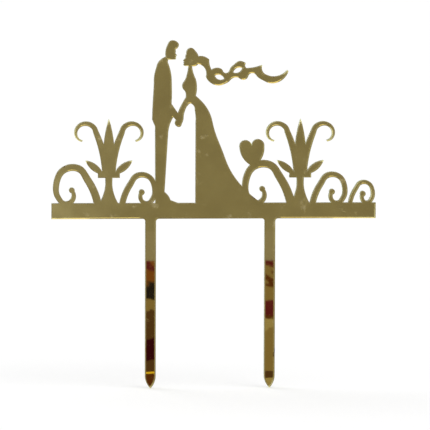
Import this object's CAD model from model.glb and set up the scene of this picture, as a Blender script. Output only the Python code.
import math
import bmesh
import bpy
import numpy as np
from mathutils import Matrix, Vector


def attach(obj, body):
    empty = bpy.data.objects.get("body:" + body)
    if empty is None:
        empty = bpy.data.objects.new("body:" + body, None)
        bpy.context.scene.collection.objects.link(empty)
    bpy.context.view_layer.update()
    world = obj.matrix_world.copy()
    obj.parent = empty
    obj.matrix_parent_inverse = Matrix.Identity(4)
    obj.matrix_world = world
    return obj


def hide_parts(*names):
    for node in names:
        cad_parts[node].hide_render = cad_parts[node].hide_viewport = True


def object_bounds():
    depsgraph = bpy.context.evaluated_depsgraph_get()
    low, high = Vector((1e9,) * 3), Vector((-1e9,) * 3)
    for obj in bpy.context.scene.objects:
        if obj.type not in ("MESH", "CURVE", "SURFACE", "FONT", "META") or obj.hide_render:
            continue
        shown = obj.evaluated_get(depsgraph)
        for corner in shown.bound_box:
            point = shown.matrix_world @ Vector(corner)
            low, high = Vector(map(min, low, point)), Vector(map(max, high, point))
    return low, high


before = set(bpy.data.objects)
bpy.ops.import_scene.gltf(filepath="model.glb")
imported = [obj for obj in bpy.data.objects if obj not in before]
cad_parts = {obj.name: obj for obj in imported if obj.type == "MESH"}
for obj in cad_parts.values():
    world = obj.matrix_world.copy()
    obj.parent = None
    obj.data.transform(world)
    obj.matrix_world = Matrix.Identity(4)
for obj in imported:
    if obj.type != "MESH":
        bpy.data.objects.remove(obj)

# Cake topper, cut by laser from a sheet of gold mirror acrylic. Metres, +Z up, +X to the
# viewer's right, and the mirror looks towards -Y. The underside of the bar is at zero height.
cad_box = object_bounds()


# Mirror backing: the aluminium film and the grey paint that was rolled over it to seal it,
# bonded to the whole back of the sheet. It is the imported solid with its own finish.
mm = 0.001
paint_colour = "#75756f"
paint_thin_colour = "#85847c"
paint_scuff_colour = "#9d9c94"
scorch_colour = "#33280f"
roller_stipple = 0.9 * mm
stipple_height = 0.06 * mm
roller_streak = 9.0 * mm
streak_stretch_share = 0.08
scuff_size = 26.0 * mm


def linear(hex_colour):
    """A colour written in sRGB hex, as linear light with full alpha: each channel's share of
    255 is divided by 12.92 when it is low, and otherwise follows the 2.4 power curve."""
    light = []
    for place in (1, 3, 5):
        share = int(hex_colour[place:place + 2], 16) / 255
        light.append(share / 12.92 if share <= 0.04045 else ((share + 0.055) / 1.055) ** 2.4)
    return light + [1]


def add_node(tree, kind, settings=None, links=None):
    """Adds a node. Settings are its own properties, or input sockets by name or number. Links
    feed its inputs from other nodes' outputs, each written as (node, output)."""
    node = tree.nodes.new(kind)
    for name, value in (settings or {}).items():
        if isinstance(name, str) and hasattr(node, name):
            setattr(node, name, value)
        else:
            node.inputs[name].default_value = value
    for name, (source, output) in (links or {}).items():
        tree.links.new(source.outputs[output], node.inputs[name])
    return node


def new_material(name):
    """An empty node material and the tree that its nodes go into."""
    material = bpy.data.materials.new(name)
    material.use_nodes = True
    material.node_tree.nodes.clear()
    return material, material.node_tree


# Alkyd paint, rolled: a dull grey with the roller's stipple, faint streaks along the roller's
# travel, pale scuffs where the sheet lay on the cutting bed, and a rim that the laser scorched.
rolled_paint, tree = new_material("rolled_alkyd_paint")
place = add_node(tree, "ShaderNodeTexCoord")
along_roller = add_node(tree, "ShaderNodeMapping", {"Scale": (streak_stretch_share, 1, 1)},
                        {"Vector": (place, "Object")})
streaks = add_node(tree, "ShaderNodeTexNoise", {"Scale": 1 / roller_streak, "Detail": 3},
                   {"Vector": (along_roller, 0)})
stipple = add_node(tree, "ShaderNodeTexNoise", {"Scale": 1 / roller_stipple, "Detail": 2},
                   {"Vector": (place, "Object")})
scuffs = add_node(tree, "ShaderNodeTexNoise", {"Scale": 1 / scuff_size, "Detail": 8, "Roughness": 0.7},
                  {"Vector": (place, "Object")})
thin_share = add_node(tree, "ShaderNodeMapRange", {"From Min": 0.35, "From Max": 0.65},
                      {"Value": (streaks, "Fac")})
scuff_share = add_node(tree, "ShaderNodeMapRange", {"From Min": 0.6, "From Max": 0.75, "To Max": 0.5},
                       {"Value": (scuffs, "Fac")})
rolled = add_node(tree, "ShaderNodeMix",
                  {"data_type": "RGBA", 6: linear(paint_colour), 7: linear(paint_thin_colour)},
                  {0: (thin_share, 0)})
scuffed = add_node(tree, "ShaderNodeMix", {"data_type": "RGBA", 7: linear(paint_scuff_colour)},
                   {0: (scuff_share, 0), 6: (rolled, 2)})
facing = add_node(tree, "ShaderNodeNewGeometry")
facing_parts = add_node(tree, "ShaderNodeSeparateXYZ", links={0: (facing, "True Normal")})
flatness = add_node(tree, "ShaderNodeMath", {"operation": "ABSOLUTE"}, {0: (facing_parts, "Y")})
scorched = add_node(tree, "ShaderNodeMix", {"data_type": "RGBA", 6: linear(scorch_colour)},
                    {0: (flatness, 0), 7: (scuffed, 2)})
dullness = add_node(tree, "ShaderNodeMapRange", {"To Min": 0.5, "To Max": 0.68},
                    {"Value": (stipple, "Fac")})
stipple_bump = add_node(tree, "ShaderNodeBump", {"Strength": 0.35, "Distance": stipple_height},
                        {"Height": (stipple, "Fac")})
shader = add_node(tree, "ShaderNodeBsdfPrincipled", {"IOR": 1.5},
                  {"Base Color": (scorched, 2), "Roughness": (dullness, 0), "Normal": (stipple_bump, 0)})
add_node(tree, "ShaderNodeOutputMaterial", links={"Surface": (shader, 0)})

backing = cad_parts["mirror_backing"]
backing.data.materials.clear()
backing.data.materials.append(rolled_paint)


# Acrylic sheet: cast acrylic, tinted gold, polished on its front, with its cut walls left frosted
# by the laser and its back coated with the aluminium film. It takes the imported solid's own shape,
# with a front rim that the beam's heat has melted to a slope.
acrylic_tint = "#f7dd7e"
acrylic_pale_tint = "#f9e186"
smear_colour = "#f4e1a2"
film_colour = "#f4f0e6"
film_dull_colour = "#eee9dc"
frost_colour = "#ece6c4"
frost_glow_colour = "#f8fdec"
frost_glow_share = 0.9
merge_gap = 0.001 * mm
film_gap = 0.02 * mm
rim_width = 0.4 * mm
rim_depth = 0.305 * mm
unfold_rounds = 20
flat_facing_share = 0.9
slope_facing_share = 0.3
level_facing_share = 0.99
smooth_angle = math.radians(25)
mirror_wave = 40.0 * mm
wave_height = 0.1 * mm
dust_size = 0.8 * mm
smear_size = 5.0 * mm
striation_pitch = 0.45 * mm
striation_height = 0.05 * mm
striation_stretch_share = 0.05
scorch_width = 0.25 * mm

# The front faces are set in by the rim's width. Where the outline is too tight for that, a
# triangle folds over and faces back, and its corners go half the way to the outline, round after
# round, until none does. Then the front corners of the cut walls go back by the rim's depth, and
# the back comes forward by a hair, clear of the backing.
sheet_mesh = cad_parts["acrylic_sheet"].data.copy()
shape = bmesh.new()
shape.from_mesh(sheet_mesh)
bmesh.ops.remove_doubles(shape, verts=shape.verts, dist=merge_gap)
front_faces = [face for face in shape.faces if face.normal.y < -flat_facing_share]
bmesh.ops.inset_region(shape, faces=front_faces, thickness=rim_width, use_boundary=True)
bmesh.ops.triangulate(shape, faces=shape.faces)
shape.to_mesh(sheet_mesh)
shape.free()
corners = np.empty(len(sheet_mesh.vertices) * 3, np.float32)
sheet_mesh.vertices.foreach_get("co", corners)
corners = corners.reshape(-1, 3).astype(float)
triangles = np.empty(len(sheet_mesh.loops), np.int32)
sheet_mesh.loops.foreach_get("vertex_index", triangles)
triangles = triangles.reshape(-1, 3)
back_depth = float(corners[:, 1].max())
on_back = corners[:, 1] > back_depth - film_gap
reaches_back = on_back[triangles].any(axis=1)
on_wall = np.zeros(len(corners), bool)
on_wall[triangles[reaches_back]] = True
edge_starts = triangles.ravel()
edge_ends = np.roll(triangles, -1, axis=1).ravel()
steps_out = on_wall[edge_ends] & ~on_wall[edge_starts]
outline_corners = np.arange(len(corners))
outline_corners[edge_starts[steps_out]] = edge_ends[steps_out]
front_triangles = triangles[~reaches_back]
for _ in range(unfold_rounds):
    first, second, third = corners[front_triangles.T]
    folded = np.cross(second - first, third - first)[:, 1] > 0
    tight = np.unique(front_triangles[folded])
    corners[tight] = (corners[tight] + corners[outline_corners[tight]]) / 2
corners[on_wall & ~on_back, 1] += rim_depth
corners[on_back, 1] -= film_gap
sheet_mesh.vertices.foreach_set("co", corners.astype(np.float32).ravel())
sheet_mesh.update()

# Cast acrylic, polished: clear and golden, a shade paler here and there, with a mirror's faint
# waviness, a little dust, and faint smears of glue from the paper that covered it.
tinted_acrylic, tree = new_material("gold_tinted_cast_acrylic")
place = add_node(tree, "ShaderNodeTexCoord")
waviness = add_node(tree, "ShaderNodeTexNoise", {"Scale": 1 / mirror_wave, "Detail": 1},
                    {"Vector": (place, "Object")})
dust = add_node(tree, "ShaderNodeTexNoise", {"Scale": 1 / dust_size, "Detail": 2},
                {"Vector": (place, "Object")})
smears = add_node(tree, "ShaderNodeTexNoise", {"Scale": 1 / smear_size, "Detail": 4},
                  {"Vector": (place, "Object")})
tint_mix = add_node(tree, "ShaderNodeMix",
                    {"data_type": "RGBA", 6: linear(acrylic_tint), 7: linear(acrylic_pale_tint)},
                    {0: (smears, "Fac")})
haze = add_node(tree, "ShaderNodeMapRange",
                {"From Min": 0.5, "From Max": 0.8, "To Min": 0.005, "To Max": 0.07},
                {"Value": (dust, "Fac")})
smear_share = add_node(tree, "ShaderNodeMapRange", {"From Min": 0.64, "From Max": 0.75},
                       {"Value": (smears, "Fac")})
smeared = add_node(tree, "ShaderNodeMix", {"data_type": "RGBA", 7: linear(smear_colour)},
                   {0: (smear_share, 0), 6: (tint_mix, 2)})
clearness = add_node(tree, "ShaderNodeMapRange", {"To Min": 1.0, "To Max": 0.84}, {"Value": (smear_share, 0)})
wave_bump = add_node(tree, "ShaderNodeBump", {"Strength": 0.2, "Distance": wave_height},
                     {"Height": (waviness, "Fac")})
shader = add_node(tree, "ShaderNodeBsdfPrincipled", {"IOR": 1.49},
                  {"Base Color": (smeared, 2), "Roughness": (haze, 0), "Normal": (wave_bump, 0),
                   "Transmission Weight": (clearness, 0)})
add_node(tree, "ShaderNodeOutputMaterial", links={"Surface": (shader, 0)})

# The same acrylic, cut by laser: a frosted edge that light comes through, so that it glows pale
# yellow, with the beam's fine lines across it and a scorched line along the film. The lines are
# drawn a few times coarser than the beam leaves them, so that they show.
cut_acrylic, tree = new_material("laser_cut_acrylic")
place = add_node(tree, "ShaderNodeTexCoord")
along_beam = add_node(tree, "ShaderNodeMapping", {"Scale": (1, striation_stretch_share, 1)},
                      {"Vector": (place, "Object")})
striations = add_node(tree, "ShaderNodeTexNoise", {"Scale": 1 / striation_pitch, "Detail": 2},
                      {"Vector": (along_beam, 0)})
frost = add_node(tree, "ShaderNodeMapRange", {"To Min": 0.25, "To Max": 0.55},
                 {"Value": (striations, "Fac")})
line_bump = add_node(tree, "ShaderNodeBump", {"Strength": 0.5, "Distance": striation_height},
                     {"Height": (striations, "Fac")})
place_parts = add_node(tree, "ShaderNodeSeparateXYZ", links={0: (place, "Object")})
scorch_share = add_node(tree, "ShaderNodeMapRange",
                        {"From Min": back_depth - scorch_width, "From Max": back_depth - scorch_width / 2},
                        {"Value": (place_parts, "Y")})
frost_mix = add_node(tree, "ShaderNodeMix",
                     {"data_type": "RGBA", 6: linear(frost_colour), 7: linear(scorch_colour)},
                     {0: (scorch_share, 0)})
glow_mix = add_node(tree, "ShaderNodeMix",
                    {"data_type": "RGBA", 6: linear(frost_glow_colour), 7: linear(scorch_colour)},
                    {0: (scorch_share, 0)})
frosted = add_node(tree, "ShaderNodeBsdfPrincipled", {"IOR": 1.49},
                   {"Base Color": (frost_mix, 2), "Roughness": (frost, 0), "Normal": (line_bump, 0)})
glowing = add_node(tree, "ShaderNodeBsdfTranslucent",
                   links={"Color": (glow_mix, 2), "Normal": (line_bump, 0)})
shader = add_node(tree, "ShaderNodeMixShader", {0: frost_glow_share}, {1: (frosted, 0), 2: (glowing, 0)})
add_node(tree, "ShaderNodeOutputMaterial", links={"Surface": (shader, 0)})

# Aluminium film, vacuum coated: a bright mirror seen through the tint, with a fine uneven grain.
aluminium_film, tree = new_material("vacuum_coated_aluminium")
place = add_node(tree, "ShaderNodeTexCoord")
grain = add_node(tree, "ShaderNodeTexNoise", {"Scale": 1 / dust_size, "Detail": 3},
                 {"Vector": (place, "Object")})
film_mix = add_node(tree, "ShaderNodeMix",
                    {"data_type": "RGBA", 6: linear(film_colour), 7: linear(film_dull_colour)},
                    {0: (grain, "Fac")})
polish = add_node(tree, "ShaderNodeMapRange", {"To Min": 0.0, "To Max": 0.03}, {"Value": (grain, "Fac")})
shader = add_node(tree, "ShaderNodeBsdfPrincipled", {"Metallic": 1.0},
                  {"Base Color": (film_mix, 2), "Roughness": (polish, 0)})
add_node(tree, "ShaderNodeOutputMaterial", links={"Surface": (shader, 0)})

facings = np.empty(len(sheet_mesh.polygons) * 3, np.float32)
sheet_mesh.polygons.foreach_get("normal", facings)
depth_facing = facings.reshape(-1, 3)[:, 1]
front, wall, back = 0, 1, 2
faces_front = depth_facing < -slope_facing_share
faces_back = depth_facing > slope_facing_share
sides = np.where(faces_front, front, np.where(faces_back, back, wall)).astype(np.int32)
sheet_mesh.materials.clear()
for material in (tinted_acrylic, cut_acrylic, aluminium_film):
    sheet_mesh.materials.append(material)
sheet_mesh.polygons.foreach_set("material_index", sides)
sheet_mesh.set_sharp_from_angle(angle=smooth_angle)
sheet_mesh.polygons.foreach_set("use_smooth", np.abs(depth_facing) < level_facing_share)
sheet = bpy.data.objects.new("mirror_acrylic_sheet", sheet_mesh)
bpy.context.collection.objects.link(sheet)
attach(sheet, "root")
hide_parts("acrylic_sheet")


# Stage: a pale floor under the stakes' tips and a white world. The floor adds a little light of
# its own, so that it comes out white wherever the topper's soft shadow doesn't fall.
floor_size = 12.0
floor_colour = "#e6e6e6"
floor_glow_colour = "#ffffff"
floor_glow = 0.225
world_colour = "#ffffff"
world_fill = 0.71
floor_level = cad_box[0][2]
floor_mesh = bpy.data.meshes.new("floor")
floor_corners = floor_size / 2 * np.array([(-1, -1), (1, -1), (1, 1), (-1, 1)])
floor_mesh.from_pydata(np.column_stack((floor_corners, np.full(4, floor_level))).tolist(), [], [(0, 1, 2, 3)])
floor_paint, tree = new_material("white_studio_floor")
shader = add_node(tree, "ShaderNodeBsdfPrincipled",
                  {"Base Color": linear(floor_colour), "Roughness": 0.9, "Specular IOR Level": 0.0,
                   "Emission Color": linear(floor_glow_colour), "Emission Strength": floor_glow})
add_node(tree, "ShaderNodeOutputMaterial", links={"Surface": (shader, 0)})
floor_mesh.materials.append(floor_paint)
floor = bpy.data.objects.new("floor", floor_mesh)
bpy.context.collection.objects.link(floor)

# The world is full white where it is seen, straight, mirrored or through the acrylic, and a little
# weaker as a light.
world = bpy.data.worlds.new("white_studio")
bpy.context.scene.world = world
world.use_nodes = True
tree = world.node_tree
tree.nodes.clear()
ray = add_node(tree, "ShaderNodeLightPath")
seen = add_node(tree, "ShaderNodeMath", {"operation": "MAXIMUM"},
                {0: (ray, "Is Camera Ray"), 1: (ray, "Is Glossy Ray")})
seen_through = add_node(tree, "ShaderNodeMath", {"operation": "MAXIMUM"},
                        {0: (seen, 0), 1: (ray, "Is Transmission Ray")})
strength = add_node(tree, "ShaderNodeMapRange", {"To Min": world_fill, "To Max": 1.0},
                    {"Value": (seen_through, 0)})
white = add_node(tree, "ShaderNodeBackground", {"Color": linear(world_colour)}, {"Strength": (strength, 0)})
add_node(tree, "ShaderNodeOutputWorld", links={"Surface": (white, 0)})


# Room: what the mirror looks at, a low grey wall with white over it, a grey floor, and a row of
# brown, red and dark patches on the floor before each stake. Only the mirror sees these plain
# cards: they throw no light or shadow on anything else.
room_width = 2.4
wall_height = 0.325
wall_distance = 0.88
wall_left_colour = "#a5abc0"
wall_right_colour = "#8d8f96"
wall_dim_colour = "#7d7d82"
wall_shade_start = -0.037
wall_shade_end = 0.043
wall_mottle = 14.0 * mm
floor_card_colour = "#9293a1"
floor_card_dim_colour = "#8e8f9c"
card_lift = 0.2 * mm
card_start = 5.0 * mm


def add_card(name, corners, material):
    """A flat card with four corners, that only mirror-like and clear surfaces see."""
    mesh = bpy.data.meshes.new(name)
    mesh.from_pydata(corners, [], [(0, 1, 2, 3)])
    mesh.materials.append(material)
    material.cycles.emission_sampling = "NONE"
    card = bpy.data.objects.new(name, mesh)
    bpy.context.collection.objects.link(card)
    card.visible_camera = False
    card.visible_diffuse = False
    card.visible_shadow = False


grey_wall, tree = new_material("grey_room_wall")
place = add_node(tree, "ShaderNodeTexCoord")
place_parts = add_node(tree, "ShaderNodeSeparateXYZ", links={0: (place, "Object")})
shade = add_node(tree, "ShaderNodeMapRange",
                 {"interpolation_type": "SMOOTHSTEP",
                  "From Min": wall_shade_start, "From Max": wall_shade_end},
                 {"Value": (place_parts, "X")})
mottle = add_node(tree, "ShaderNodeTexNoise", {"Scale": 1 / wall_mottle, "Detail": 2},
                  {"Vector": (place, "Object")})
dim_share = add_node(tree, "ShaderNodeMapRange", {"From Min": 0.3, "From Max": 0.7, "To Max": 0.6},
                     {"Value": (mottle, "Fac")})
wall_mix = add_node(tree, "ShaderNodeMix",
                    {"data_type": "RGBA", 6: linear(wall_left_colour), 7: linear(wall_right_colour)},
                    {0: (shade, 0)})
dimmed = add_node(tree, "ShaderNodeMix", {"data_type": "RGBA", 7: linear(wall_dim_colour)},
                  {0: (dim_share, 0), 6: (wall_mix, 2)})
glow = add_node(tree, "ShaderNodeEmission", links={"Color": (dimmed, 2)})
add_node(tree, "ShaderNodeOutputMaterial", links={"Surface": (glow, 0)})
half_room = room_width / 2
card_level = floor_level + card_lift
add_card("room_wall", [(-half_room, -wall_distance, card_level), (half_room, -wall_distance, card_level),
                       (half_room, -wall_distance, wall_height), (-half_room, -wall_distance, wall_height)],
         grey_wall)

grey_floor, tree = new_material("grey_room_floor")
place = add_node(tree, "ShaderNodeTexCoord")
mottle = add_node(tree, "ShaderNodeTexNoise", {"Scale": 1 / wall_mottle, "Detail": 2},
                  {"Vector": (place, "Object")})
floor_mix = add_node(tree, "ShaderNodeMix",
                     {"data_type": "RGBA", 6: linear(floor_card_colour), 7: linear(floor_card_dim_colour)},
                     {0: (mottle, "Fac")})
glow = add_node(tree, "ShaderNodeEmission", links={"Color": (floor_mix, 2)})
add_node(tree, "ShaderNodeOutputMaterial", links={"Surface": (glow, 0)})
add_card("room_floor", [(-half_room, -card_start, card_level), (half_room, -card_start, card_level),
                        (half_room, -wall_distance, card_level), (-half_room, -wall_distance, card_level)],
         grey_floor)

# Each row runs out from its stake, drifting to the right by a share of its length. A patch is
# written as where it begins, as a share of that length, and its colour, and its edge wanders.
row_length = 0.654
row_width = 8.0 * mm
patch_size = 9.0 * mm
patch_stretch_share = 0.1
wander_share = 0.2
straw = "#dbc13e"
amber = "#7a4f2c"
rust = "#593520"
brown = "#544033"
wine = "#5c2232"
dark_wine = "#360d1f"
soot = "#232029"
stone = "#857964"
pale_stone = "#9d9787"
left_stake_place = -29.3 * mm
left_drift_share = 0.073
left_patch_shares = [(0, rust), (0.085, straw), (0.097, brown), (0.165, dark_wine), (0.31, brown),
                     (0.545, stone), (0.622, soot), (0.803, brown), (0.831, amber), (0.955, wine)]
right_stake_place = 25.9 * mm
right_drift_share = 0.1
right_patch_shares = [(0, pale_stone), (0.05, brown), (0.09, stone), (0.38, pale_stone),
                      (0.456, rust), (0.511, wine), (0.629, stone), (0.783, rust), (0.841, stone),
                      (0.91, wine)]
row_level = card_level + card_lift
for name, stake_place, drift_share, patch_shares in (
        ("left_row", left_stake_place, left_drift_share, left_patch_shares),
        ("right_row", right_stake_place, right_drift_share, right_patch_shares)):
    patches, tree = new_material(name + "_patches")
    place = add_node(tree, "ShaderNodeTexCoord")
    place_parts = add_node(tree, "ShaderNodeSeparateXYZ", links={0: (place, "Object")})
    along_row = add_node(tree, "ShaderNodeMapping", {"Scale": (1, patch_stretch_share, 1)},
                         {"Vector": (place, "Object")})
    edges = add_node(tree, "ShaderNodeTexNoise", {"Scale": 1 / patch_size, "Detail": 1},
                     {"Vector": (along_row, 0)})
    wander = add_node(tree, "ShaderNodeMapRange", {"To Min": 1 + wander_share, "To Max": 1 - wander_share},
                      {"Value": (edges, "Fac")})
    row_share = add_node(tree, "ShaderNodeMapRange", {"From Max": -row_length}, {"Value": (place_parts, "Y")})
    wandered = add_node(tree, "ShaderNodeMath", {"operation": "MULTIPLY"},
                        {0: (wander, 0), 1: (row_share, 0)})
    colours = add_node(tree, "ShaderNodeValToRGB", links={"Fac": (wandered, 0)})
    colours.color_ramp.interpolation = "CONSTANT"
    while len(colours.color_ramp.elements) < len(patch_shares):
        colours.color_ramp.elements.new(1)
    for stop, (start_share, colour) in zip(colours.color_ramp.elements, patch_shares):
        stop.position = start_share
        stop.color = linear(colour)
    glow = add_node(tree, "ShaderNodeEmission", links={"Color": (colours, "Color")})
    add_node(tree, "ShaderNodeOutputMaterial", links={"Surface": (glow, 0)})
    near_left = stake_place - row_width / 2
    near_right = stake_place + row_width / 2
    drift = drift_share * row_length
    row_corners = [(near_left, -card_start, row_level), (near_right, -card_start, row_level),
                   (near_right + drift, -row_length, row_level), (near_left + drift, -row_length, row_level)]
    add_card(name, row_corners, patches)


# Lamps: two broad soft lights, one before the topper on its right and one behind it on its left,
# both well above it.
lamp_spread = math.radians(40)
lamp_strength = 0.6
lamp_side_share = 0.45
lamp_out_share = 0.45
lamp_up_share = 0.77
for name, side in (("front_soft_light", 1), ("back_soft_light", -1)):
    light = bpy.data.lights.new(name, "SUN")
    light.angle = lamp_spread
    light.energy = lamp_strength
    lamp = bpy.data.objects.new(name, light)
    light_from = Vector((side * lamp_side_share, -side * lamp_out_share, lamp_up_share))
    lamp.rotation_euler = (-light_from).to_track_quat("-Z", "Y").to_euler()
    lamp.visible_glossy = False
    lamp.visible_transmission = False
    bpy.context.collection.objects.link(lamp)


# Camera: well back from the topper, a little to its left and above its bar, and rolled a trace so
# that both the bar and the stakes come out nearly straight.
camera_distance = 2.0
camera_turn = math.radians(5)
camera_rise = math.radians(4.5)
camera_roll = math.radians(0.2)
frame_width = 198.2 * mm
sensor_width = 36
aim_side = 0.35 * mm
aim_height = 1.7 * mm
aim = Vector((aim_side, cad_box[0][1], aim_height))
towards = Vector((-math.sin(camera_turn), -math.cos(camera_turn), math.tan(camera_rise))).normalized()
lens = bpy.data.cameras.new("camera")
lens.sensor_width = sensor_width
lens.lens = sensor_width * camera_distance / frame_width
camera = bpy.data.objects.new("camera", lens)
camera.location = aim + camera_distance * towards
camera.rotation_euler = (-towards).to_track_quat("-Z", "Y").to_euler()
camera.rotation_euler.rotate_axis("Z", camera_roll)
bpy.context.collection.objects.link(camera)
bpy.context.scene.camera = camera
bpy.context.scene.view_settings.view_transform = "Standard"
